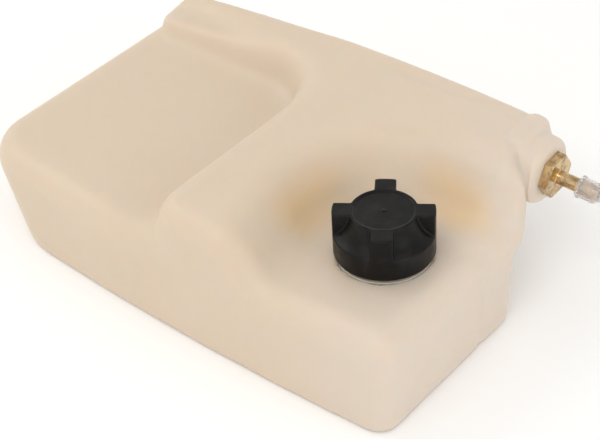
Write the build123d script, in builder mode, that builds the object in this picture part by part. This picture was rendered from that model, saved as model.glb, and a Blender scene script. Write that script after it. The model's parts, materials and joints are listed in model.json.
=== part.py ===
"""A small moulded fresh water tank with a screw filler cap and a brass hose outlet.

Millimetres, +Z up. The tank stands on its flat floor, centred over the origin. Its long side
runs along X, the hose outlet leaves at the +X end, and the low front side faces -Y. Places are
measured from the tank's front right bottom corner, where the datum planes below start.
"""
import os
from math import acos, atan2, cos, radians, sin, sqrt, tan

from build123d import *

os.makedirs("parts", exist_ok=True)

# ---------------------------------------------------------------- driving dimensions
wall = 3.5                    # moulded wall of the tank

tank_length = 364.0           # at the shelf, where the slanted left end is longest
tank_depth = 210.0            # from the ends of the front wall to the back wall
front_bulge = 8.0             # how far the middle of the front wall bows out
foot_length = 330.0           # at the floor
overall_left = 354.4          # how far the rounded left end reaches
shelf_height = 70.0           # the low shelf at the front left
top_height = 112.0            # the upper face at its right end
top_slope = 3.5               # degrees, falling towards the left end

shelf_right = 190.0           # the step beside the shelf, from the right end
shelf_back = 172.0            # the step behind the shelf, from the front
strip_length = 345.0          # the raised strip along the back, from the right end

end_turn, end_setback = (106.0, 156.0), 25.0       # the right end bends back to the wing's end
wing_start = 150.0            # the lower body ends here, and the wing overhangs behind it
wing_length = 120.0           # how far the cut-out under the wing runs from the right end
wing_under = 60.0             # height of the wing's underside beside the lower body
wing_slope = 24.0             # degrees, the underside rises towards the back

corner_round = 14.0           # vertical corners, in plan
front_left_round = 40.0
back_left_round = 22.0
end_round = 36.0
wing_round = 18.0
strip_round = 18.5
shelf_corner_round = 42.0
front_step_round = 20.0
top_round, shelf_round, floor_round = 17.0, 16.0, 4.0
inner_top_round = 13.5

bowl_radius, bowl_slope = 54.0, 50.0               # the recess round the neck, at its floor
bowl_depth, bowl_foot_round, bowl_rim_round = 34.5, 26.0, 24.0
bowl_front, bowl_right = (-40.0, -73.5), (57.0, 22.0)     # its floor's sides pass here, from the neck
neck_x, neck_y, neck_z = -57.0, 73.5, 74.0         # where the neck's axis meets the bowl's floor
neck_radius, neck_bore, neck_height = 26.4, 22.8, 15.5

thread_pitch, thread_root, thread_crest = 5.0, 2.8, 1.2
neck_thread_radius, neck_thread_turns, neck_thread_start = 28.6, 1.25, 7.0
cap_thread_radius, cap_thread_turns, cap_thread_start = 27.1, 1.0, 4.5

cap_gap = 3.0                 # from the bowl's floor to the cap's skirt
cap_radius, cap_bore, cap_height = 32.7, 29.8, 31.5
cap_roof = 4.0                # over the hollow in the cap's middle
skirt_height, disc_radius = 15.5, 21.8
lobe_width, lobe_turn = 13.6, -56.0
cap_hollow = 19.0
liner_radius, liner_thickness = 28.5, 2.0

outlet_y, outlet_z = 189.0, 91.0                   # the outlet's axis
boss_radius, boss_face, boss_root, boss_round = 23.5, -8.0, -36.0, 5.0
insert_radius, insert_length = 13.0, 24.0
fitting_thread_radius, fitting_bore = 8.3, 3.2
washer_thickness = 1.0
hex_flats, hex_thickness, hex_turn = 27.0, 6.5, 5.0
stem_radius, stem_tip = 4.75, 29.0
spigot_radius, spigot_end = 4.5, -46.0

dust_cap_radius, dust_cap_mouth, dust_cap_tip = 7.0, 14.3, 32.5
dust_cap_bore = 5.5

dip_radius, dip_x, dip_foot, dip_bend = 6.0, -150.0, 16.0, 24.0
strainer_radius, strainer_top, strainer_foot = 11.0, 36.0, 5.0
strainer_slot, strainer_slots = 2.4, 10

# ---------------------------------------------------------------- datum planes
corner = Vector((overall_left - dust_cap_tip) / 2,
                (front_bulge - outlet_y - boss_radius) / 2, 0)
plan = Plane(origin=corner, x_dir=(1, 0, 0), z_dir=(0, 0, 1))
side = Plane(origin=corner, x_dir=(1, 0, 0), z_dir=(0, -1, 0))
end = Plane(origin=corner, x_dir=(0, 1, 0), z_dir=(1, 0, 0))
lean = radians(top_slope)
neck = Plane(
    origin=corner + Vector(neck_x, neck_y, neck_z),
    x_dir=(cos(lean), 0, sin(lean)),
    z_dir=(-sin(lean), 0, cos(lean)),
)
neck_side = Plane(origin=neck.origin, x_dir=neck.x_dir, z_dir=-neck.y_dir)
neck_axis = Axis(neck.origin, neck.z_dir)
outlet = Plane(origin=corner + Vector(0, outlet_y, outlet_z), x_dir=(0, 1, 0), z_dir=(1, 0, 0))
outlet_side = Plane(origin=outlet.origin, x_dir=(1, 0, 0), z_dir=(0, -1, 0))
outlet_axis = Axis(outlet.origin, (1, 0, 0))


def nearest(shape, x, y):
    """The vertex of a sketch closest to a place on its plane."""
    return min(shape.vertices(), key=lambda point: (point.X - x) ** 2 + (point.Y - y) ** 2)


def top_level(x, inset):
    """Height of the sloping upper face, x being measured from the right end."""
    return top_height - inset + x * tan(lean)


# ---------------------------------------------------------------- the moulded form
def outline(inset, shelf_cut):
    """The tank seen from above, its wall drawn inset, with the shelf's corner cut out or not."""
    right, front, back, left = -inset, inset, tank_depth - inset, inset - tank_length
    turn_near, turn_far = end_turn
    wing_end = -end_setback - inset
    strip_left, step, shelf_wall = inset - strip_length, inset - shelf_right, shelf_back + inset
    rounds = [
        (right, front, corner_round - inset),
        (right, turn_near, end_round - inset),
        (wing_end, turn_far, end_round + inset),
        (wing_end, back, wing_round - inset),
    ]
    with BuildSketch(plan.offset(inset)) as shape:
        with BuildLine():
            Polyline((right, front), (right, turn_near), (wing_end, turn_far), (wing_end, back),
                     (left, back), (left, front))
            ThreePointArc((left, front), (-tank_length / 2, front - front_bulge), (right, front))
        make_face()
        if shelf_cut:
            past = 2 * tank_length
            with BuildLine():
                Polyline((-past, -past), (step, -past), (step, shelf_wall),
                         (strip_left, shelf_wall), (strip_left, past), (-past, past), close=True)
            make_face(mode=Mode.SUBTRACT)
            rounds += [
                (strip_left, back, strip_round - inset),
                (strip_left, shelf_wall, strip_round - inset),
                (step, shelf_wall, shelf_corner_round - 2 + inset),
                (step, front - front_bulge, front_step_round - inset),
            ]
        for x, y, radius in rounds:
            fillet(nearest(shape, x, y), radius)
    return shape.sketch


def side_prism(*points):
    """A prism right across the tank, from points in the side view."""
    with BuildPart(mode=Mode.PRIVATE) as prism:
        with BuildSketch(side.offset(tank_depth)):
            with BuildLine():
                Polyline(*points, close=True)
            make_face()
        extrude(amount=-3 * tank_depth)
    return prism.part


def space_above(inset):
    """Everything over the sloping upper face."""
    past = 2 * tank_length
    return side_prism((past, top_level(past, inset)), (-past, top_level(-past, inset)),
                      (-past, past), (past, past))


def space_left(inset):
    """Everything beyond the slanted left end."""
    run = (tank_length - foot_length) / shelf_height
    past = 2 * tank_length
    return side_prism((inset - foot_length + past * run, -past), (inset - foot_length - past * run, past),
                      (-2 * past, past), (-2 * past, -past))


def space_under_wing(inset):
    """The cut-out at the back right, under the wing."""
    past = 2 * tank_depth
    near, far = wing_start - inset, -wing_length - inset
    with BuildPart(mode=Mode.PRIVATE) as space:
        with BuildSketch(plan.offset(-1)) as shape:
            with BuildLine():
                Polyline((far, past), (far, near), (past, near), (past, past), close=True)
            make_face()
            fillet(nearest(shape, far, near), back_left_round + inset)
        extrude(amount=top_height)
        with BuildSketch(end.offset(past)):
            with BuildLine():
                rise = past * tan(radians(wing_slope))
                level = wing_under + inset
                Polyline((0, level), (wing_start, level), (wing_start + past, level + rise),
                         (wing_start + past, past), (0, past), close=True)
            make_face()
        extrude(amount=-3 * past, mode=Mode.SUBTRACT)
    return space.part


def run_out(spread):
    """Where the recess's floor leaves over the front and right: its two sides are tangents."""
    reach = 160.0
    corners = []
    for (x, y), turn in ((bowl_front, -1), (bowl_right, 1)):
        foot = atan2(y, x) + turn * acos(bowl_radius / sqrt(x * x + y * y))
        outwards = Vector(cos(foot), sin(foot))
        along = Vector(x, y) - outwards * bowl_radius
        touch = outwards * (bowl_radius + spread)
        corners.append((touch, touch + along.normalized() * reach))
    (touch_left, far_left), (touch_right, far_right) = corners
    return touch_left, far_left, Vector(reach, -reach), far_right, touch_right


def space_in_bowl(inset):
    """The recess round the neck, walled at the back and left, and open to the front and right."""
    spread = inset * tan(radians(bowl_slope / 2))
    with BuildPart(mode=Mode.PRIVATE) as space:
        with BuildSketch(neck.offset(-inset)):
            Circle(bowl_radius + spread)
            with BuildLine():
                Polyline(*run_out(spread), close=True)
            make_face()
        extrude(amount=2 * bowl_depth, taper=bowl_slope - 90)
        foot = space.faces().sort_by(Axis.Z)[0].edges()
        near_foot = foot.filter_by(lambda edge: (edge @ 0.5 - neck.origin).length < 2 * bowl_radius)
        fillet(near_foot, bowl_foot_round + inset)
    return space.part


def upright(form):
    """The vertical walls of a form."""
    return form.faces().filter_by(lambda face: abs(face.normal_at().Z) < 0.01)


def moulded_form(inset):
    """The tank's outer form, or with the wall as inset the space inside it."""
    top_edge = (top_round if inset == 0 else inner_top_round)
    with BuildPart(mode=Mode.PRIVATE) as low:
        extrude(outline(inset, shelf_cut=False), amount=shelf_height - 2 * inset)
        add(space_left(inset), mode=Mode.SUBTRACT)
        for depth, radius in ((0, front_left_round), (tank_depth, back_left_round)):
            middle = corner + Vector(-(tank_length + foot_length) / 2, depth, shelf_height / 2)
            fillet(low.edges().sort_by(lambda edge: (edge.center() - middle).length)[0], radius - inset)
        fillet(low.faces().sort_by(Axis.Z)[-1].edges(), shelf_round - inset)
    with BuildPart(mode=Mode.PRIVATE) as form:
        extrude(outline(inset, shelf_cut=True), amount=top_height)
        add(space_above(inset), mode=Mode.SUBTRACT)
        add(space_in_bowl(inset), mode=Mode.SUBTRACT)
        # the recess's rim first, then the top edge all the way round, which dips into the recess
        top = form.faces().filter_by(lambda face: face.is_planar).sort_by(Axis.Z)[-1]
        walls = upright(form).edges()
        fillet([edge for edge in top.edges() if not any(edge.is_same(other) for other in walls)],
               bowl_rim_round - inset)
        fillet([edge for edge in upright(form).edges()
                if (edge @ 0.5).Z > wing_under and abs((edge % 0.5).Z) < 0.95], top_edge)
        add(low.part)
        if inset == 0:
            fillet(form.faces().sort_by(Axis.Z)[0].edges(), floor_round)
        add(space_under_wing(inset), mode=Mode.SUBTRACT)
    return form.part


def thread(root_radius, crest_radius, turns, start):
    """One screw thread about the neck's axis, reaching from its root to its crest."""
    with BuildPart(mode=Mode.PRIVATE) as ridge:
        with BuildLine() as path:
            Helix(thread_pitch, thread_pitch * turns, root_radius)
        with BuildSketch(Plane(path.line @ 0, x_dir=(1, 0, 0), z_dir=path.line % 0)):
            with BuildLine():
                reach = crest_radius - root_radius
                Polyline((0, -thread_root / 2), (reach, -thread_crest / 2),
                         (reach, thread_crest / 2), (0, thread_root / 2), close=True)
            make_face()
        sweep(path=path.line, is_frenet=True)
    return ridge.part.moved(neck.offset(start).location)


# ---------------------------------------------------------------- tank shell
outer, inner = moulded_form(0), moulded_form(wall)

with BuildPart() as tank_shell:
    add(outer)
    add(inner, mode=Mode.SUBTRACT)
    # the boss round the outlet, solid behind its face
    with BuildSketch(outlet_side) as boss:
        with BuildLine():
            Polyline((boss_root, 0), (boss_root, boss_radius), (boss_face, boss_radius),
                     (boss_face, 0), close=True)
        make_face()
        fillet(nearest(boss, boss_face, boss_radius), boss_round)
    revolve(axis=outlet_axis)
    with BuildSketch(outlet.offset(boss_face + 1)):
        Circle(insert_radius)
    extrude(amount=-insert_length - washer_thickness - 1, mode=Mode.SUBTRACT)
    with BuildSketch(outlet.offset(boss_face)):
        Circle(spigot_radius + 4)
    extrude(amount=-2 * (boss_face - boss_root), mode=Mode.SUBTRACT)
    # the filler neck
    with BuildSketch(neck.offset(-wall / 2)):
        Circle(neck_radius)
    extrude(amount=neck_height + wall / 2)
    add(thread(neck_radius - 0.5, neck_thread_radius, neck_thread_turns, neck_thread_start))
    with BuildSketch(neck.offset(-2 * wall)):
        Circle(neck_bore)
    extrude(amount=neck_height + 3 * wall, mode=Mode.SUBTRACT)
tank_shell.part.label = "tank_shell"

# ---------------------------------------------------------------- filler cap and its liner
cap = neck.offset(cap_gap)
roof = cap_height - cap_roof
seat = neck_height - cap_gap + liner_thickness    # the ledge that presses on the liner

with BuildPart() as filler_cap:
    with BuildSketch(Plane(origin=cap.origin, x_dir=cap.x_dir, z_dir=-cap.y_dir)):
        with BuildLine():
            Polyline((0, roof), (cap_hollow - 1.5, roof), (cap_hollow, seat), (cap_bore, seat),
                     (cap_bore, 0), (cap_radius - 0.6, 0),
                     (cap_radius, 0.8), (cap_radius, skirt_height))
            ThreePointArc((cap_radius, skirt_height), (27.4, skirt_height + 6.4),
                          (disc_radius + 0.6, cap_height - 2.6))
            Polyline((disc_radius + 0.6, cap_height - 2.6), (disc_radius, cap_height),
                     (disc_radius - 1.6, cap_height), (disc_radius - 2.2, cap_height - 0.7),
                     (0, cap_height - 0.7), (0, roof))
        make_face()
    revolve(axis=neck_axis)
    # four grip lobes that reach out over the sloping shoulder
    for index in range(4):
        turned = cap.rotated((0, 0, lobe_turn + 90 * index)).offset(skirt_height - 0.5)
        with BuildSketch(turned):
            with Locations((cap_hollow + 1, 0)):
                Rectangle(cap_radius, lobe_width, align=(Align.MIN, Align.CENTER))
            Circle(cap_radius, mode=Mode.INTERSECT)
        extrude(amount=cap_height - skirt_height)
    add(thread(cap_bore + 0.4, cap_thread_radius, cap_thread_turns, cap_thread_start))
filler_cap.part.label = "filler_cap"

with BuildPart() as cap_liner:
    with BuildSketch(cap.offset(seat)):
        Circle(liner_radius)
    extrude(amount=-liner_thickness)
cap_liner.part.label = "cap_liner"

# ---------------------------------------------------------------- brass outlet fitting
with BuildPart() as outlet_insert:
    with BuildSketch(outlet.offset(boss_face - washer_thickness)):
        Circle(insert_radius)
        Circle(fitting_thread_radius, mode=Mode.SUBTRACT)
    extrude(amount=-insert_length)
outlet_insert.part.label = "outlet_insert"

with BuildPart() as outlet_washer:
    with BuildSketch(outlet.offset(boss_face)):
        Circle(insert_radius)
        Circle(fitting_thread_radius, mode=Mode.SUBTRACT)
    extrude(amount=-washer_thickness)
outlet_washer.part.label = "outlet_washer"

with BuildPart() as hose_barb:
    with BuildSketch(outlet.offset(boss_face)):
        RegularPolygon(hex_flats / sqrt(3), 6, rotation=90 + hex_turn)
    extrude(amount=hex_thickness)
    # the hexagon's front corners are turned off by a cone
    with BuildSketch(outlet_side):
        with BuildLine():
            front = boss_face + hex_thickness
            Polyline((boss_face, 0), (boss_face, hex_flats), (front - 1, hex_flats / sqrt(3) + 0.4),
                     (front, hex_flats / sqrt(3) - 0.8), (front, 0), close=True)
        make_face()
    revolve(axis=outlet_axis, mode=Mode.INTERSECT)
    # the stem with its two barbs, the threaded shank and the spigot inside the tank
    with BuildSketch(outlet_side):
        with BuildLine():
            Polyline((front - 1, 0), (front - 1, stem_radius), (15.6, stem_radius), (15.6, 5.3),
                     (20.6, stem_radius), (21.4, stem_radius), (21.4, 5.3), (stem_tip - 0.6, 4.3),
                     (stem_tip, 4.0), (stem_tip, 0), close=True)
        make_face()
        with BuildLine():
            shank_end = boss_face - washer_thickness - insert_length
            Polyline((front - 1, 0), (front - 1, fitting_thread_radius),
                     (shank_end + 1, fitting_thread_radius), (shank_end, fitting_thread_radius - 1),
                     (shank_end, spigot_radius), (spigot_end, spigot_radius), (spigot_end, 0), close=True)
        make_face()
    revolve(axis=outlet_axis)
    with BuildSketch(outlet.offset(spigot_end - 1)):
        Circle(fitting_bore)
    extrude(amount=stem_tip - spigot_end + 2, mode=Mode.SUBTRACT)
hose_barb.part.label = "hose_barb"

with BuildPart() as dust_cap:
    with BuildSketch(outlet_side):
        with BuildLine():
            Polyline((dust_cap_mouth, dust_cap_bore), (dust_cap_mouth, dust_cap_radius + 0.8),
                     (dust_cap_mouth + 1.6, dust_cap_radius + 0.8), (dust_cap_mouth + 2.2, dust_cap_radius),
                     (dust_cap_tip - dust_cap_radius, dust_cap_radius))
            CenterArc((dust_cap_tip - dust_cap_radius, 0), dust_cap_radius, 0, 90)
            Polyline((dust_cap_tip, 0), (stem_tip + 1, 0), (stem_tip + 1, stem_radius - 1.2),
                     (stem_tip - 1.6, dust_cap_bore), (dust_cap_mouth, dust_cap_bore))
        make_face()
    revolve(axis=outlet_axis)
dust_cap.part.label = "dust_cap"

# ---------------------------------------------------------------- pickup tube and strainer
inside_start = boss_root - 0.5
with BuildPart() as pickup_tube:
    with BuildLine() as route:
        FilletPolyline(*(outlet_side.from_local_coords(point) for point in (
            (inside_start, 0), (dip_x, 0), (dip_x, dip_foot - outlet_z))), radius=dip_bend)
    with BuildSketch(outlet.offset(inside_start)):
        Circle(dip_radius)
        Circle(spigot_radius, mode=Mode.SUBTRACT)
    sweep()
pickup_tube.part.label = "pickup_tube"

with BuildPart() as foot_strainer:
    foot = Plane(origin=corner + Vector(dip_x, outlet_y, 0))
    with BuildSketch(foot.offset(strainer_foot)):
        Circle(strainer_radius)
    extrude(amount=strainer_top - strainer_foot)
    with BuildSketch(foot.offset(strainer_foot + 2)):
        Circle(strainer_radius - 1.5)
    extrude(amount=strainer_top - strainer_foot - 5, mode=Mode.SUBTRACT)
    with BuildSketch(foot.offset(strainer_top - 4)):
        Circle(dip_radius)
    extrude(amount=8, mode=Mode.SUBTRACT)
    for index in range(strainer_slots):
        with BuildSketch(foot.offset(strainer_foot + 5)):
            with Locations(Location((0, 0, 0), (0, 0, 360 / strainer_slots * index))):
                with Locations((strainer_radius, 0)):
                    Rectangle(6, strainer_slot)
        extrude(amount=strainer_top - strainer_foot - 14, mode=Mode.SUBTRACT)
foot_strainer.part.label = "foot_strainer"

for piece in (tank_shell, filler_cap, cap_liner, outlet_insert, outlet_washer, hose_barb,
              dust_cap, pickup_tube, foot_strainer):
    export_step(piece.part, f"parts/{piece.part.label}.step")
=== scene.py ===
# %% [markdown]
# # A moulded fresh water tank
#
# The tank is rotationally moulded from natural polyethylene: one hollow, milky body with soft
# edges everywhere. A black screw cap sits in a dished recess, and a brass hose fitting under a
# clear dust cap leaves the raised boss at its right end. The engineering model gives every size
# and place, so the first step is to load it as a fixed frame and to keep its box.

# %% Load the frame
import json
from math import cos, pi, radians, sin, sqrt

import bmesh
import bpy
from mathutils import Matrix, Vector


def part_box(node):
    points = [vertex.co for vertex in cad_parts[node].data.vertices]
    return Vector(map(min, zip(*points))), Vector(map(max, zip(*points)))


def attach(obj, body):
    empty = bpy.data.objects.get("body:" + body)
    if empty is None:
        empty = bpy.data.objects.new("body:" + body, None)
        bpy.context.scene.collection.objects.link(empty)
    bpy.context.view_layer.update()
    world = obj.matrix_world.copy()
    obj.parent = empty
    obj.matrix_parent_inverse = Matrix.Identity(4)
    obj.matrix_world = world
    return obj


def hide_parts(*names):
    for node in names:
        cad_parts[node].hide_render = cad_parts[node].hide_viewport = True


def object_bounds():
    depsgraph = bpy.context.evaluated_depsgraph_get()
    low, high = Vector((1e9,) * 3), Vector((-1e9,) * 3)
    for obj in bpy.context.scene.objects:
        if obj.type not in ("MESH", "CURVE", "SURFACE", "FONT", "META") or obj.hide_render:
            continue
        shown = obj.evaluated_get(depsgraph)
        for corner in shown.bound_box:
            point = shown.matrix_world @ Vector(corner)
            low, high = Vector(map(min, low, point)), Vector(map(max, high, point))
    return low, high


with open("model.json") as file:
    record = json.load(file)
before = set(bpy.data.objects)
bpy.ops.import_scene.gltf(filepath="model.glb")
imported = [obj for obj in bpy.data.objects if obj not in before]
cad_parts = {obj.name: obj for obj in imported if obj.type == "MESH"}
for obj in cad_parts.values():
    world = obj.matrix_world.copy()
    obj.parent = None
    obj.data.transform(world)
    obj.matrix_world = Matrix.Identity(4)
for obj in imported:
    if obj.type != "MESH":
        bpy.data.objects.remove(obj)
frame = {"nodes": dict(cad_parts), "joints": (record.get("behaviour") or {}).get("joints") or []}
cad_low, cad_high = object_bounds()
mm = 0.001
print("tank and fittings, in mm:", [round(side / mm) for side in cad_high - cad_low])

# %% [markdown]
# ## Where the two fittings sit
#
# The screw cap turns about the filler neck's axis, which leans a few degrees with the upper face.
# The hose fitting lies along +X. Both axes are read from the frame, so a piece made at the origin
# needs only one matrix to land in its place, and its object can stay unmoved.

# %% Axes of the filler neck and of the outlet
cap_joint = next(joint for joint in frame["joints"] if joint["name"] == "cap_turn")
neck_foot, neck_up = Vector(cap_joint["pos_m"]), Vector(cap_joint["axis"])
neck_across = Vector((neck_up.z, 0, -neck_up.x))
neck_place = Matrix.Translation(neck_foot) @ Matrix(
    (neck_across, Vector((0, 1, 0)), neck_up)).transposed().to_4x4()

dust_low, dust_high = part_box("dust_cap")
outlet_height = (dust_low.z + dust_high.z) / 2
outlet_depth = (dust_low.y + dust_high.y) / 2
boss_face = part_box("outlet_washer")[1].x
# local +Z of a turned fitting becomes +X, and its local +X becomes +Y
outlet_place = Matrix.Translation((boss_face, outlet_depth, outlet_height)) @ Matrix(
    ((0, 0, 1), (1, 0, 0), (0, 1, 0))).to_4x4()
print("neck foot", [round(c, 4) for c in neck_foot], "boss face at X", round(boss_face, 4))

# %% [markdown]
# ## The camera
#
# The tank is seen from its front right corner, well above it, through a long lens that keeps its
# edges close to parallel. Setting the camera first means that every later render can be compared.

# %% Camera
eye = bpy.data.cameras.new("eye")
eye.lens, eye.sensor_width, eye.clip_end = 102, 36, 20
camera = bpy.data.objects.new("camera", eye)
camera.location = (0.5674, -0.6976, 0.7827)
camera.rotation_euler = (radians(50), 0, radians(38.5))
bpy.context.scene.collection.objects.link(camera)
bpy.context.scene.camera = camera


# %% [markdown]
# ## Helpers for making pieces
#
# Turned and moulded plastic parts are mostly round, so a profile spun about Z makes them. A closed
# profile gives a closed solid. `keep` turns a finished bmesh into an object whose place is in its
# mesh. `settle` applies whatever modifiers a piece has, so that the mesh itself holds the shape.

# %% Helpers for meshes
def spun(bm, profile, steps=96):
    """A closed solid of revolution about Z from (radius, height) pairs in millimetres.

    A profile that starts and ends on the axis is left open there, and any other is closed."""
    ring = [bm.verts.new((r * mm, 0, z * mm)) for r, z in profile]
    closed = profile[0][0] > 0
    edges = [bm.edges.new((ring[i - 1], ring[i])) for i in range(0 if closed else 1, len(ring))]
    bmesh.ops.spin(bm, geom=ring + edges, cent=(0, 0, 0), axis=(0, 0, 1), dvec=(0, 0, 0),
                   angle=2 * pi, steps=steps, use_merge=True, use_duplicate=False)
    bmesh.ops.remove_doubles(bm, verts=bm.verts, dist=1e-6)
    bmesh.ops.recalc_face_normals(bm, faces=bm.faces)


def rounded(profile, corners, steps=5):
    """The profile with an arc at each corner that is listed as index: radius."""
    points = []
    for index, corner in enumerate(profile):
        if index not in corners:
            points.append(corner)
            continue
        here = Vector(corner)
        before = (Vector(profile[index - 1]) - here).normalized()
        after = (Vector(profile[(index + 1) % len(profile)]) - here).normalized()
        half = before.angle(after) / 2
        reach = corners[index] * cos(half) / sin(half)
        start, end = here + before * reach, here + after * reach
        centre = here + (before + after).normalized() * (corners[index] / sin(half))
        for step in range(steps + 1):
            arm = (start - centre).lerp(end - centre, step / steps).normalized()
            points.append(tuple(centre + arm * corners[index]))
    return points


def keep(bm, name, place, body, material, smooth_angle=35):
    """Makes the piece's object, puts its place in its mesh, and sets body, slot and finish."""
    mesh = bpy.data.meshes.new(name)
    bm.to_mesh(mesh)
    bm.free()
    mesh.transform(place)
    piece = bpy.data.objects.new(name, mesh)
    bpy.context.scene.collection.objects.link(piece)
    mesh.materials.append(material)
    mesh.shade_smooth()
    mesh.set_sharp_from_angle(angle=radians(smooth_angle))
    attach(piece, body)
    print(name, "has", len(mesh.polygons), "faces")
    return piece


def settle(piece):
    """Applies every modifier of the piece."""
    bpy.context.view_layer.update()
    shape = piece.evaluated_get(bpy.context.evaluated_depsgraph_get())
    finished = bpy.data.meshes.new_from_object(shape)
    piece.modifiers.clear()
    piece.data = finished
    return piece


def loose_piece(bm, name):
    """An object for a mesh that is still being worked on."""
    mesh = bpy.data.meshes.new(name)
    bm.to_mesh(mesh)
    bm.free()
    piece = bpy.data.objects.new(name, mesh)
    bpy.context.scene.collection.objects.link(piece)
    return piece


def remeshed(piece, voxel):
    """One even skin over everything in the piece, which melts its solids together."""
    skin = piece.modifiers.new("skin", "REMESH")
    skin.mode, skin.voxel_size, skin.use_smooth_shade = "VOXEL", voxel * mm, True
    return settle(piece)


# %% [markdown]
# ## Helpers for finishes
#
# Every finish is a node tree on Principled BSDF that reads Object coordinates, which are metres on
# the tank. Short helpers keep each tree readable: a noise, a mix of two colours, a rescaled
# range and a bump.

# %% Helpers for materials
class Finish:
    """A material with its shader and a few short ways to add nodes."""

    def __init__(self, name, **values):
        self.material = bpy.data.materials.new(name)
        self.material.use_nodes = True
        self.nodes, self.links = self.material.node_tree.nodes, self.material.node_tree.links
        self.shader = self.nodes["Principled BSDF"]
        for socket, value in values.items():
            self.shader.inputs[socket.replace("_", " ")].default_value = value
        self.place = self.nodes.new("ShaderNodeTexCoord").outputs["Object"]

    def add(self, kind, settings=(), **sockets):
        """A node, with its settings and inputs, where an input is a value or another output."""
        node = self.nodes.new("ShaderNode" + kind)
        for name, value in dict(settings).items():
            setattr(node, name, value)
        for name, value in sockets.items():
            key = int(name[1:]) if name[1:].isdigit() else name.replace("_", " ")
            self.join(value, node.inputs[key])
        return node

    def join(self, value, socket):
        if isinstance(value, bpy.types.NodeSocket):
            self.links.new(value, socket)
        else:
            socket.default_value = value

    def mapped(self, location=(0, 0, 0), rotation=(0, 0, 0), scale=(1, 1, 1)):
        return self.add("Mapping", {"vector_type": "POINT"}, Vector=self.place, Location=location,
                        Rotation=rotation, Scale=scale).outputs[0]

    def noise(self, scale, detail=3.0, rough=0.5, vector=None):
        return self.add("TexNoise", Vector=vector or self.place, Scale=scale, Detail=detail,
                        Roughness=rough).outputs["Fac"]

    def ranged(self, value, low, high, to_low=0.0, to_high=1.0, smooth=True):
        kind = "SMOOTHSTEP" if smooth else "LINEAR"
        return self.add("MapRange", {"interpolation_type": kind}, Value=value, From_Min=low,
                        From_Max=high, To_Min=to_low, To_Max=to_high).outputs[0]

    def maths(self, what, first, second=0.0):
        return self.add("Math", {"operation": what}, _0=first, _1=second).outputs[0]

    def mixed(self, factor, first, second, blend="MIX"):
        node = self.add("Mix", {"data_type": "RGBA", "blend_type": blend}, _0=factor)
        self.join(first, node.inputs[6])
        self.join(second, node.inputs[7])
        return node.outputs[2]

    def bump(self, height, distance, strength=1.0, under=None):
        node = self.add("Bump", Height=height, Distance=distance, Strength=strength)
        if under:
            self.links.new(under, node.inputs["Normal"])
        return node.outputs[0]

    def set(self, **sockets):
        for name, value in sockets.items():
            self.join(value, self.shader.inputs[name.replace("_", " ")])
        return self.material


# %% [markdown]
# ## Natural polyethylene
#
# Unpigmented polyethylene is milky and slightly amber. Light goes a few millimetres into it, so
# its edges look soft, and it looks deeper in a hollow, where light passes through more of it. The
# skin from the mould has a faint orange-peel texture and a few specks of scorched powder.
# Subsurface scattering gives the depth; the amber in the recess by the cap is painted shade.

# %% Finish of the tank
# amber is a painted shade for the recess beside the cap
ivory, recess_shade_amber, cloudy = (0.635, 0.52, 0.395, 1), (0.72, 0.51, 0.28, 1), (0.665, 0.553, 0.437, 1)
# pale is a painted sheen for the right end
painted_sheen_pale, speck_brown = (0.66, 0.57, 0.485, 1), (0.30, 0.21, 0.11, 1)
tank = Finish("moulded_polyethylene", IOR=1.5, Subsurface_Weight=0.8,
              Subsurface_Radius=(1.0, 0.62, 0.36), Subsurface_Scale=0.005)
from_neck = tank.add("Mapping", {"vector_type": "TEXTURE"}, Vector=tank.place, Location=neck_foot,
                     Rotation=(0, -radians(3.5), 0)).outputs[0]
flat_from_neck = tank.add("VectorMath", {"operation": "MULTIPLY"}, _0=from_neck,
                          _1=(1, 1, 0)).outputs[0]
neck_distance = tank.add("VectorMath", {"operation": "LENGTH"}, _0=flat_from_neck).outputs["Value"]
sides = tank.add("SeparateXYZ", _0=from_neck)
towards_corner = tank.add("VectorMath", {"operation": "DOT_PRODUCT"}, _0=flat_from_neck,
                          _1=(-0.62, 0.78, 0)).outputs["Value"]
# painted shade: amber darkening in the recess to the cap's left and right, where the bowl walls and
# the cap shade it
ring = tank.maths("MULTIPLY", tank.ranged(neck_distance, 0.040, 0.056),
                  tank.ranged(neck_distance, 0.063, 0.082, 1, 0))
walled = tank.maths("MULTIPLY", tank.ranged(towards_corner, 0.005, 0.030),
                    tank.ranged(sides.outputs[2], -0.012, -0.003))
off_middle = tank.add("VectorMath", {"operation": "DOT_PRODUCT"}, _0=flat_from_neck,
                      _1=(0.78, 0.62, 0)).outputs["Value"]
flanks = tank.ranged(tank.maths("ABSOLUTE", off_middle), 0.015, 0.048, 0.15, 1)
painted_recess_shade = tank.maths("MULTIPLY", tank.maths("MULTIPLY", ring, walled), flanks)
clouds = tank.ranged(tank.noise(7, 3), 0.35, 0.65)
milky = tank.mixed(tank.maths("MULTIPLY", clouds, 0.45), ivory, cloudy)
# painted sheen: the colour turns paler towards the right end
painted_sheen_end = tank.mixed(tank.ranged(sides.outputs[0], -0.06, 0.06, 0, 0.8), milky, painted_sheen_pale)
recess_shaded = tank.mixed(tank.maths("MULTIPLY", painted_recess_shade, 0.75), painted_sheen_end, recess_shade_amber)
specks = tank.ranged(tank.add("TexVoronoi", Vector=tank.place, Scale=34).outputs["Distance"],
                     0.014, 0.03, 0.5, 0)
few = tank.ranged(tank.noise(19, 1), 0.52, 0.6)
spotted = tank.mixed(tank.maths("MULTIPLY", specks, few), recess_shaded, speck_brown)
peel = tank.bump(tank.noise(420, 2), 0.00006)
waves = tank.bump(tank.noise(26, 2), 0.0006, under=peel)
polyethylene = tank.set(Base_Color=spotted, Normal=waves,
                        Roughness=tank.ranged(tank.noise(60, 4), 0.3, 0.7, 0.38, 0.52))
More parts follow.
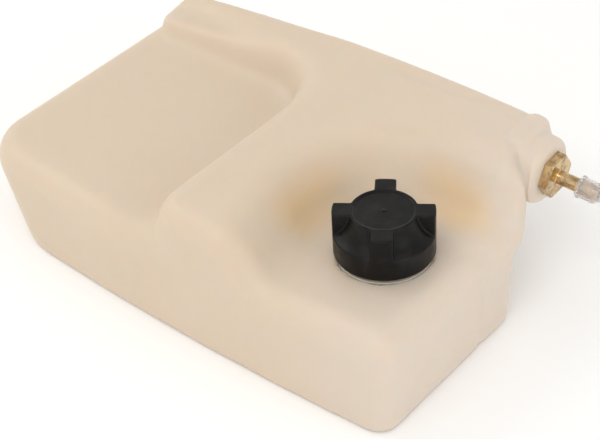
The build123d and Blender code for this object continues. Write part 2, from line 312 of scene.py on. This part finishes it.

# %% [markdown]
# ## Black cap plastic
#
# The cap is injection moulded from black polypropylene. It is satin rather than glossy, a little
# shinier where the mould was polished, with a very fine grain and a trace of dust in patches.

# %% Finish of the cap
cap_black, cap_dust = (0.004, 0.0035, 0.0032, 1), (0.014, 0.012, 0.011, 1)
cap_plastic = Finish("black_polypropylene", IOR=1.49, Specular_IOR_Level=0.17)
scuffs = cap_plastic.ranged(cap_plastic.noise(70, 5, 0.65), 0.45, 0.75)
grain = cap_plastic.bump(cap_plastic.noise(2600, 2), 0.00004)
black = cap_plastic.set(
    Base_Color=cap_plastic.mixed(scuffs, cap_black, cap_dust), Normal=grain,
    Roughness=cap_plastic.ranged(cap_plastic.noise(110, 4), 0.3, 0.7, 0.3, 0.46))

# %% [markdown]
# ## Brass
#
# The fitting is cut from brass bar. The lathe leaves fine rings round its axis, and handling
# leaves cloudy patches where the metal is duller and browner.

# %% Finish of the brass
bright_brass, dull_brass = (0.66, 0.475, 0.25, 1), (0.33, 0.22, 0.11, 1)
brass_finish = Finish("turned_brass", Metallic=1.0)
tarnish = brass_finish.ranged(brass_finish.noise(160, 5, 0.6), 0.42, 0.68)
rings = brass_finish.noise(1, 2, 0.5, brass_finish.mapped(scale=(5200, 60, 60)))
brass = brass_finish.set(
    Base_Color=brass_finish.mixed(tarnish, bright_brass, dull_brass),
    Roughness=brass_finish.ranged(tarnish, 0, 1, 0.16, 0.32),
    Normal=brass_finish.bump(rings, 0.00003))

# %% [markdown]
# ## Clear vinyl, rubber, foam and the inner plastics
#
# The dust cap is soft clear vinyl that has gone slightly cloudy. The seal, the liner and the
# pickup parts are hardly seen, but each still has the finish that it has on the bench.

# %% Finishes of the small parts
vinyl = Finish("cloudy_vinyl", Base_Color=(0.93, 0.89, 0.86, 1), IOR=1.44, Transmission_Weight=0.8)
haze = vinyl.noise(240, 3)
clear_vinyl = vinyl.set(Roughness=vinyl.ranged(haze, 0.3, 0.7, 0.08, 0.2),
                        Normal=vinyl.bump(vinyl.noise(500, 2), 0.00005))

seal = Finish("seal_rubber", IOR=1.5)
washer_rubber = seal.set(Base_Color=seal.mixed(seal.noise(300), (0.02, 0.02, 0.02, 1),
                                               (0.05, 0.05, 0.05, 1)),
                         Roughness=seal.ranged(seal.noise(600), 0.3, 0.7, 0.6, 0.85))

foam = Finish("white_foam", Subsurface_Weight=0.2, Subsurface_Scale=0.002)
liner_foam = foam.set(Base_Color=foam.mixed(foam.noise(900), (0.74, 0.74, 0.72, 1),
                                            (0.86, 0.86, 0.84, 1)),
                      Roughness=foam.ranged(foam.noise(700), 0.3, 0.7, 0.7, 0.9),
                      Normal=foam.bump(foam.noise(1500), 0.0001))

tube = Finish("tube_polyethylene", IOR=1.5, Transmission_Weight=0.35)
natural_tube = tube.set(Base_Color=tube.mixed(tube.noise(90), (0.80, 0.78, 0.72, 1),
                                              (0.88, 0.86, 0.80, 1)),
                        Roughness=tube.ranged(tube.noise(200), 0.3, 0.7, 0.2, 0.4))

mesh_grey = Finish("strainer_nylon", IOR=1.5)
strainer_plastic = mesh_grey.set(
    Base_Color=mesh_grey.mixed(mesh_grey.noise(120), (0.62, 0.64, 0.67, 1), (0.72, 0.73, 0.75, 1)),
    Roughness=mesh_grey.ranged(mesh_grey.noise(300), 0.3, 0.7, 0.4, 0.6))

for node, slot, finish in (("cap_liner", "liner_foam", liner_foam),
                           ("outlet_insert", "brass", brass),
                           ("outlet_washer", "washer_rubber", washer_rubber),
                           ("pickup_tube", "natural_tube", natural_tube),
                           ("foot_strainer", "strainer_plastic", strainer_plastic)):
    part = frame["nodes"][node]
    part.data.materials.clear()
    part.data.materials.append(finish)

# %% [markdown]
# ## The tank's two surfaces
#
# A rotational moulding has no crisp corner: powder melts on the mould and builds up in each
# valley. The engineering solid has its rounded edges, but the foot of the step round the low shelf
# is still sharp. So the solid is opened round its two fittings, which parts it into an outer and an
# inner surface, and each is closed again. The outlet stays closed, because its brass insert is
# moulded in.

# %% Outer and inner surface of the engineering solid
to_neck, to_outlet = neck_place.inverted(), outlet_place.inverted()


def on_fitting(point, neck_reach=29.3, outlet_reach=14.0):
    """Whether a place belongs to the neck or to the hole for the outlet."""
    at_neck, at_outlet = to_neck @ point / mm, to_outlet @ point / mm
    return (at_neck.xy.length < neck_reach and -10 < at_neck.z < 30) or (
        at_outlet.xy.length < outlet_reach)


bm = bmesh.new()
bm.from_mesh(frame["nodes"]["tank_shell"].data)
bmesh.ops.remove_doubles(bm, verts=bm.verts, dist=1e-6)
bmesh.ops.delete(bm, geom=[vertex for vertex in bm.verts if on_fitting(vertex.co)], context="VERTS")
bmesh.ops.holes_fill(bm, edges=[edge for edge in bm.edges if edge.is_boundary], sides=0)
surfaces, unseen = [], set(bm.verts)
while unseen:
    grown, front = set(), [unseen.pop()]
    while front:
        vertex = front.pop()
        grown.add(vertex)
        near = [edge.other_vert(vertex) for edge in vertex.link_edges]
        front += [other for other in near if other in unseen]
        unseen.difference_update(near)
    surfaces.append(grown)
surfaces.sort(key=lambda grown: max(vertex.co.z for vertex in grown))
print("parted into surfaces of", [len(grown) for grown in surfaces], "vertices")
members = {"inner": {vertex.index for vertex in surfaces[-2]},
           "outer": {vertex.index for vertex in surfaces[-1]}}

# %% [markdown]
# ## The shape that the moulding relaxes into
#
# A real tank is not quite what its drawing says. The right end stays square until it is well under
# the wing, the back wall and the upper face bow out as the plastic cools, and the back edges keep a
# tighter round. Each is a small smooth move of every place on a surface, in the drawing's own
# millimetres from the front right bottom corner.

# %% Moves of the moulded surface
right_end, front_line = dust_high.x / mm - 32.5, cad_low.y / mm + 8
bend_start, bend_end, wing_setback = 106, 156, 25
low_body_end, low_body_round = 150, 18
top_height, top_slope, top_round, back_wall = 112, radians(3.5), 17, 210
shelf_height, shelf_end_low, shelf_end_run, shelf_end_round = 70, -330, 34, 22


def eased(value, low, high):
    """0 at low, 1 at high, and a soft S between them."""
    t = min(max((value - low) / (high - low), 0), 1)
    return t * t * (3 - 2 * t)


def squared_end(x, y, z):
    """The place after the right end's bend has moved back under the wing."""
    bent = -wing_setback * min(max((y - bend_start) / (bend_end - bend_start), 0), 1)
    past = max(y - low_body_end + low_body_round, 0)
    low_body = sqrt(max(low_body_round ** 2 - past ** 2, 0)) - low_body_round
    wing = -wing_setback * eased(y, 144, 184)
    goal = low_body + (wing - low_body) * eased(z, 52, 64)
    near = eased(x, -90, bent) if x < bent else 1 - eased(x, bent + 2, -8)
    return x + (goal - bent) * near, y, z


def tighter(u, v, gain):
    """A place on a round between two faces, moved out towards their edge."""
    if u <= 0 or v <= 0:
        return u, v
    reach = sqrt(u * u + v * v)
    scale = 1 + gain * (2 * u * v / reach ** 2) ** 2 / reach
    return u * scale, v * scale


def tighter_rounds(x, y, z):
    """The place after the back edge and the shelf's back left corner have a tighter round."""
    if x < 1 - wing_setback:                     # the boss shows only beyond the wing's end
        middle_y, middle_z = back_wall - top_round, top_height + x * sin(top_slope) - top_round
        y, z = min(y, back_wall) - middle_y, min(z, middle_z + top_round) - middle_z
        y, z = tighter(y, z, 3.3)
        y, z = y + middle_y, z + middle_z
    if z < shelf_height + 2:
        middle_x = shelf_end_low + shelf_end_round - shelf_end_run * z / shelf_height
        middle_y = back_wall - shelf_end_round
        x, y = tighter(middle_x - x, y - middle_y, 6 * (1 - eased(z, 58, shelf_height + 2)))
        x, y = middle_x - x, y + middle_y
    return x, y, z


def bowed_out(x, y, z):
    """The place after the back wall and the upper face have bowed out a little."""
    body = 1 - eased(x, -wing_setback, 5 - wing_setback)
    bow = 9 * max(1 - ((x + 165) / 165) ** 2, 0) * eased(y, 120, 205)
    crown = 4.5 * eased(y, 110, 205) * eased(z, 60, 100)
    return x, y + bow * body, z + crown * body


def relaxed(point, moves):
    """A place in the frame after the moves, one after another."""
    place = (point.x / mm - right_end, point.y / mm - front_line, point.z / mm)
    for move in moves:
        place = move(*place)
    x, y, z = place
    return Vector((x + right_end, y + front_line, z)) * mm


# %% [markdown]
# ## Where the step melts
#
# The foot of the step runs along the back strip, round a corner and out to the front. A weight
# falls off from that line on both sides, and with height, so that only the valley and the crest of
# the step are melted into a broad soft ramp.

# %% How much the skin is melted
step_x, step_y, turn = right_end - 190, front_line + 172, 42
valley = [Vector((right_end - 345, step_y)), Vector((step_x - turn, step_y))]
valley += [Vector((step_x - turn + turn * sin(radians(a)), step_y - turn + turn * cos(radians(a))))
           for a in (30, 60)]
valley += [Vector((step_x, step_y - turn)), Vector((step_x, front_line))]


def from_valley(spot):
    """Distance in plan from the foot of the step."""
    nearest = 1e9
    for start, end in zip(valley, valley[1:]):
        run = end - start
        along = min(max((spot - start).dot(run) / run.length_squared, 0), 1)
        nearest = min(nearest, (spot - start - run * along).length)
    return nearest


def in_valley(point):
    """How much the skin is melted at a place, from 0 to 1."""
    x, y, z = point / mm
    if not 48 < z < 106 or x > step_x + 50:
        return 0
    heights = eased(z, 50, 60) * (1 - eased(z, 90, 104)) * eased(x - right_end, -350, -310)
    return heights * (1 - eased(from_valley(Vector((x, y))), 14, 44))


# %% [markdown]
# ## Wrapping and melting
#
# Each surface is wrapped in an even voxel skin, and every vertex takes its weight and its moves. A
# few light smoothing passes take the voxel ripple away and leave the edges where they are, and the
# second Smooth modifier does many passes where the weight is painted.

# %% Two skins
skins = {}
for name, fine, coarse, ripple, melting, moves in (
        ("inner", 4.0, 5.0, 2, 50, (squared_end, bowed_out)),
        ("outer", 2.1, 4.0, 6, 160, (squared_end, tighter_rounds, bowed_out))):
    single = bm.copy()
    others = [vertex for vertex in single.verts if vertex.index not in members[name]]
    bmesh.ops.delete(single, geom=others, context="VERTS")
    bmesh.ops.recalc_face_normals(single, faces=single.faces)
    skin = remeshed(loose_piece(single, name + "_skin"), fine)
    melted = skin.vertex_groups.new(name="melted")
    for vertex in skin.data.vertices:
        melted.add([vertex.index], in_valley(vertex.co), "REPLACE")
        vertex.co = relaxed(vertex.co, moves)
    for title, passes, group in (("ripple", ripple, ""), ("melting", melting, "melted")):
        smoothing = skin.modifiers.new(title, "SMOOTH")
        smoothing.factor, smoothing.iterations, smoothing.vertex_group = 0.5, passes, group
    skins[name] = settle(skin)
    print(name, "skin of", len(skin.data.polygons), "faces")
bm.free()

# %% [markdown]
# ## One hollow body
#
# The two skins are opened under the neck and bridged into one hollow body.

# %% Open the skins under the neck
bm = bmesh.new()
bm.from_mesh(skins["inner"].data)
bmesh.ops.reverse_faces(bm, faces=bm.faces)
bm.from_mesh(skins["outer"].data)
bmesh.ops.delete(bm, geom=[vertex for vertex in bm.verts if on_fitting(vertex.co, outlet_reach=0)],
                 context="VERTS")
open_edges = [edge for edge in bm.edges if edge.is_boundary]
bmesh.ops.bridge_loops(bm, edges=open_edges)
print("bridged", len(open_edges), "edges under the neck")
for skin in skins.values():
    bpy.data.objects.remove(skin)
tank_skin = keep(bm, "tank_skin", Matrix(), "tank", polyethylene, 180)
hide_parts("tank_shell")

# %% [markdown]
# ## The filler neck
#
# The neck is a short threaded spout on the recess's floor, which shows when the cap is unscrewed.
# A voxel skin is too coarse for its thread, so the neck is turned, and its low flange covers the
# joint. The thread is a small profile that is spun and lifted at once, which makes a helix.

# %% Turned neck with its thread
neck_bore, neck_radius, flange_radius, neck_height = 22.8, 26.4, 31.0, 15.5
thread_crest, thread_pitch, thread_turns, thread_start = 28.6, 5.0, 1.25, 7.0


def helix(bm, root, crest, pitch, turns, start, root_width=2.8, crest_width=1.2):
    """A screw thread about Z, in millimetres, from its root radius out or in to its crest."""
    steps = round(48 * turns)
    shape = ((root, -root_width / 2), (crest, -crest_width / 2), (crest, crest_width / 2),
             (root, root_width / 2))
    loop = [bm.verts.new((r * mm, 0, (start + z) * mm)) for r, z in shape]
    sides = [bm.edges.new((loop[i - 1], loop[i])) for i in range(4)]
    ends = bmesh.ops.spin(bm, geom=loop + sides, cent=(0, 0, 0), axis=(0, 0, 1),
                          dvec=(0, 0, pitch * mm * turns / steps), angle=2 * pi * turns,
                          steps=steps, use_merge=False, use_duplicate=False)["geom_last"]
    for end in (sides, [part for part in ends if isinstance(part, bmesh.types.BMEdge)]):
        bmesh.ops.holes_fill(bm, edges=end, sides=4)


bm = bmesh.new()
neck_profile = [(neck_bore, -3.8), (flange_radius, -3.8), (flange_radius, 0.5), (neck_radius, 0.5),
                (neck_radius, neck_height), (neck_bore, neck_height)]
spun(bm, rounded(neck_profile, {2: 0.4, 3: 1.5, 4: 0.8, 5: 0.5}))
helix(bm, neck_radius - 0.5, thread_crest, thread_pitch, thread_turns, thread_start)
bmesh.ops.recalc_face_normals(bm, faces=bm.faces)
keep(bm, "filler_neck", neck_place, "tank", polyethylene)

# %% [markdown]
# ## The screw cap
#
# The cap has a smooth skirt, a concave shoulder, a flat disc with a thin lip, and four square grip
# lobes that run from the disc out to the skirt's face. Each shape is a simple solid, and a fine
# voxel skin over all of them gives one moulding with small soft edges, as the real mould does.

# %% Solids of the cap
cap_radius, cap_bore, cap_height, skirt_height = 32.7, 29.8, 31.5, 15.5
disc_radius, lobe_width, cap_gap, cap_hollow, seat = 21.8, 13.6, 3.0, 19.0, 14.5
cap_profile = [(0, cap_height - 4), (cap_hollow - 1.5, cap_height - 4), (cap_hollow, seat),
               (cap_bore, seat), (cap_bore, 0), (cap_radius - 0.7, 0), (cap_radius, 0.9),
               (cap_radius, skirt_height)]
shoulder_low = Vector((cap_radius, skirt_height))
shoulder_high = Vector((disc_radius + 0.6, cap_height - 2.6))
fall = shoulder_high - shoulder_low
outwards = Vector((fall.y, -fall.x)).normalized()
for t in [step / 9 for step in range(1, 9)]:     # the shoulder is hollow by 1.9 mm in its middle
    cap_profile.append(tuple(shoulder_low.lerp(shoulder_high, t) - outwards * 1.9 * sin(pi * t)))
cap_profile += [(disc_radius + 0.6, cap_height - 2.6), (disc_radius, cap_height),
                (disc_radius - 1.7, cap_height), (disc_radius - 2.4, cap_height - 0.9),
                (1.6, cap_height - 0.9), (0.9, cap_height - 0.3), (0, cap_height - 0.2)]
bm = bmesh.new()
lobe_root, lobe_foot = 19.5, skirt_height - 1
lobe = bmesh.ops.create_cube(bm, size=1)["verts"]
bmesh.ops.scale(bm, verts=lobe, vec=Vector((cap_radius - lobe_root, lobe_width,
                                            cap_height - lobe_foot)) * mm)
bmesh.ops.translate(bm, verts=lobe, vec=Vector(((cap_radius + lobe_root) / 2, 0,
                                                (cap_height + lobe_foot) / 2)) * mm)
across = [edge for edge in bm.edges if abs(edge.verts[0].co.y - edge.verts[1].co.y) > mm]
bmesh.ops.subdivide_edges(bm, edges=across, cuts=9, use_grid_fill=True)
for vertex in bm.verts:                      # the lobe's outer face follows the skirt's
    if vertex.co.x > (cap_radius - 1) * mm:
        vertex.co.x = sqrt((cap_radius * mm) ** 2 - vertex.co.y ** 2)
first_lobe = bm.verts[:] + bm.edges[:] + bm.faces[:]
for quarter in (1, 2, 3):
    copy = bmesh.ops.duplicate(bm, geom=first_lobe)["geom"]
    bmesh.ops.rotate(bm, verts=[part for part in copy if isinstance(part, bmesh.types.BMVert)],
                     cent=(0, 0, 0), matrix=Matrix.Rotation(quarter * pi / 2, 3, "Z"))
spun(bm, cap_profile, 128)

# %% [markdown]
# ## One moulding
#
# The cap is made upright and square to its lobes, where the voxels follow its flats, and is turned
# to its place on the neck at the end.

# %% The cap on the neck
lobe_turn = -56
filler_cap = remeshed(loose_piece(bm, "cap_moulding"), 0.52)
bm = bmesh.new()
bm.from_mesh(filler_cap.data)
bpy.data.objects.remove(filler_cap)
for _ in range(3):
    bmesh.ops.smooth_vert(bm, verts=bm.verts, factor=0.5, use_axis_x=True, use_axis_y=True,
                          use_axis_z=True)
cap_place = neck_place @ Matrix.Translation((0, 0, cap_gap * mm)) @ Matrix.Rotation(
    radians(lobe_turn), 4, "Z")
cap_piece = keep(bm, "screw_cap", cap_place, "cap", black, 180)
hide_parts("filler_cap")

# %% [markdown]
# ## The brass hose fitting
#
# The hexagon is a six-sided prism, and a Boolean with a turned cone takes its corners off. A small
# Bevel catches the light on every edge.

# %% Hexagon
hex_flats, hex_thickness, hex_turn = 27.0, 6.5, 5.0
bm = bmesh.new()
across_corners = hex_flats / sqrt(3)
bmesh.ops.create_cone(bm, cap_ends=True, segments=6, radius1=across_corners * mm,
                      radius2=across_corners * mm, depth=hex_thickness * mm)
bmesh.ops.translate(bm, vec=(0, 0, hex_thickness / 2 * mm), verts=bm.verts)
bmesh.ops.rotate(bm, verts=bm.verts, cent=(0, 0, 0),
                 matrix=Matrix.Rotation(radians(90 + hex_turn), 3, "Z"))
hexagon = loose_piece(bm, "hexagon")

bm = bmesh.new()
spun(bm, [(0, -1), (across_corners + 2, -1), (across_corners + 0.4, hex_thickness - 1),
          (across_corners - 0.8, hex_thickness), (0, hex_thickness)])
cone = loose_piece(bm, "turning_cone")
turning = hexagon.modifiers.new("turning", "BOOLEAN")
turning.operation, turning.object, turning.solver = "INTERSECT", cone, "EXACT"
settle(hexagon)
bpy.data.objects.remove(cone)
bm = bmesh.new()
bm.from_mesh(hexagon.data)
bpy.data.objects.remove(hexagon)
nut = keep(bm, "fitting_hexagon", outlet_place, "tank", brass, 25)
edge_break = nut.modifiers.new("edge_break", "BEVEL")
edge_break.width, edge_break.segments, edge_break.limit_method = 0.25 * mm, 3, "ANGLE"
edge_break.angle_limit = radians(20)
settle(nut)

# %% [markdown]
# ## The stem
#
# One turned profile has the spigot inside the tank, the shank in the insert, the plain stem and its
# two barbs, with a bore right through. Heights are measured from the boss's face.

# %% Stem, barbs and shank
stem, bore, tip = 4.75, 3.2, 37.0
fitting_profile = [(bore, -38), (4.5, -38), (4.5, -25), (7.6, -25), (8.3, -24), (8.3, 0),
                   (8.3, hex_thickness - 0.5), (stem, hex_thickness + 0.3), (stem, 23.6),
                   (5.3, 23.6), (stem, 28.6), (stem, 29.4), (5.3, 29.4), (4.3, tip - 0.6),
                   (4.0, tip), (bore, tip)]
bm = bmesh.new()
spun(bm, rounded(fitting_profile, {7: 0.5, 9: 0.2, 12: 0.2, 13: 0.4}))
stem_piece = keep(bm, "fitting_stem", outlet_place, "tank", brass)
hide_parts("hose_barb")

# %% [markdown]
# ## The clear dust cap
#
# A soft vinyl cap pushed over the barbs, with a small rolled flange at its mouth and a round tip.

# %% Dust cap
mouth, far, dome = 22.3, 40.5, 7.0
bm = bmesh.new()
dust_profile = [(0, tip + 1), (3.55, tip + 1), (5.5, tip - 1.6), (5.5, mouth), (7.8, mouth),
                (7.8, mouth + 1.6), (dome, mouth + 2.2)]
dust_profile += [(dome * sin(angle), far - dome + dome * cos(angle))
                 for angle in (radians(90 - 9 * step) for step in range(10))]
spun(bm, rounded([*dust_profile, (0, far)], {4: 0.6, 5: 0.6}))
dust_piece = keep(bm, "clear_dust_cap", outlet_place, "dust_cover", clear_vinyl)
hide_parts("dust_cap")

# %% [markdown]
# ## Floor
#
# A plain pale sheet, which is staging and not part of the model.

# %% Floor
bm = bmesh.new()
bmesh.ops.create_grid(bm, x_segments=1, y_segments=1, size=6)
floor = loose_piece(bm, "floor")
paper = Finish("pale_paper", Base_Color=(0.93, 0.925, 0.915, 1), Roughness=0.9)
floor.data.materials.append(paper.material)

# %% [markdown]
# ## Light
#
# Soft light comes from all round, a little weaker from above. Three broad panels, high in front,
# high on the left and at the right end, give the edges a long gentle highlight.

# %% World and panels
world = bpy.data.worlds.new("studio")
world.use_nodes = True
sky = world.node_tree.nodes
upwards = sky.new("ShaderNodeSeparateXYZ")
world.node_tree.links.new(sky.new("ShaderNodeTexCoord").outputs["Generated"], upwards.inputs[0])
strength = sky.new("ShaderNodeMapRange")
for socket, value in (("From Min", 0.0), ("From Max", 1.0), ("To Min", 1.02), ("To Max", 0.78)):
    strength.inputs[socket].default_value = value
world.node_tree.links.new(upwards.outputs[2], strength.inputs["Value"])
world.node_tree.links.new(strength.outputs[0], sky["Background"].inputs["Strength"])
sky["Background"].inputs["Color"].default_value = (1.0, 0.995, 0.985, 1)
bpy.context.scene.world = world


def panel(name, place, aim, size, energy):
    """A soft square light that faces a point."""
    light = bpy.data.lights.new(name, "AREA")
    light.size, light.energy = size, energy
    lamp = bpy.data.objects.new(name, light)
    lamp.location = place
    lamp.rotation_euler = (Vector(aim) - Vector(place)).to_track_quat("-Z", "Y").to_euler()
    bpy.context.scene.collection.objects.link(lamp)


panel("high_front", (0.3, -1.0, 1.5), (0, 0, 0.05), 0.8, 7)
panel("high_left", (-1.2, -0.3, 1.1), (0, 0, 0.05), 0.8, 4)
panel("right_end", (1.5, -0.2, 0.7), (0, 0, 0.05), 0.7, 3)
bpy.context.scene.view_settings.view_transform = "Standard"
